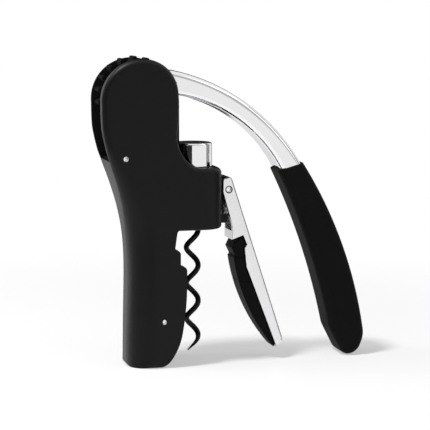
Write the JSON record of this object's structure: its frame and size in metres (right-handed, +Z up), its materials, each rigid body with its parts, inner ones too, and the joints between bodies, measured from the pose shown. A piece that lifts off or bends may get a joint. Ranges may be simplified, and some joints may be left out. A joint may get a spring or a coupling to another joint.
{
  "type": "lever corkscrew",
  "caption": "Upright rack-and-lever corkscrew: matt black body, swinging chrome lever with soft grip, black worm and a sprung neck clamp.",
  "frame": {"origin": "middle of the flat foot of the body, on the plane where the two body shells meet", "axes": "+Z up, +X towards the bottle side and the lever grip, Y across the two body shells"},
  "size_m": [0.145, 0.035, 0.1622],
  "materials": {
    "shell_black": "matt",
    "chrome": "bright",
    "grip_rubber": "satin",
    "pad_rubber": "matt",
    "clamp_metal": "satin",
    "dark_steel": "blackened",
    "pin_steel": "bright",
    "worm_coat": "non-stick",
    "nut_plastic": "matt"
  },
  "bodies": {
    "body": {"near_shell": "shell_black", "far_shell": "shell_black", "upper_pin": "pin_steel", "lower_pin": "pin_steel", "lever_axle": "pin_steel", "axle_washers": "nut_plastic", "neck_pad": "pad_rubber", "guide_nut": "nut_plastic", "clamp_hinge_pin": "pin_steel", "clamp_spring": "pin_steel"},
    "lever": {"lever_arm": "chrome", "lever_gear": "dark_steel", "gear_pins": "pin_steel", "lever_grip": "grip_rubber"},
    "carriage": {"rack": "dark_steel", "worm_housing": "chrome", "housing_rivets": "pin_steel", "thrust_washers": "nut_plastic", "housing_cap": "chrome"},
    "worm_drive": {"worm": "worm_coat", "worm_hub": "dark_steel"},
    "clamp": {"clamp_handle": "clamp_metal", "clamp_pad": "pad_rubber", "pad_rivets": "pin_steel"}
  },
  "joints": [
    {"name": "lever_hinge", "type": "hinge", "parent": "body", "child": "lever", "pos_m": [-0.0039, 0, 0.1422], "axis": [0, -1, 0], "range_deg": [0, 210]},
    {"name": "carriage_slide", "type": "slide", "parent": "body", "child": "carriage", "axis": [0, 0, 1], "range_m": [0, 0.066]},
    {"name": "worm_spin", "type": "hinge", "parent": "carriage", "child": "worm_drive", "pos_m": [0.027, 0, 0.1], "axis": [0, 0, 1], "range_deg": [0, 1251]},
    {"name": "clamp_hinge", "type": "hinge", "parent": "body", "child": "clamp", "pos_m": [0.0449, 0, 0.092], "axis": [0, 1, 0], "range_deg": [0, 16], "stiffness_Nm_per_rad": 0.12, "springref_deg": -8.59, "deforming": ["clamp_spring"]}
  ],
  "couplings": [
    {"joint": "carriage_slide", "follows": "lever_hinge", "m_per_rad": 0.018},
    {"joint": "worm_spin", "follows": "lever_hinge", "ratio": 5.9525}
  ]
}
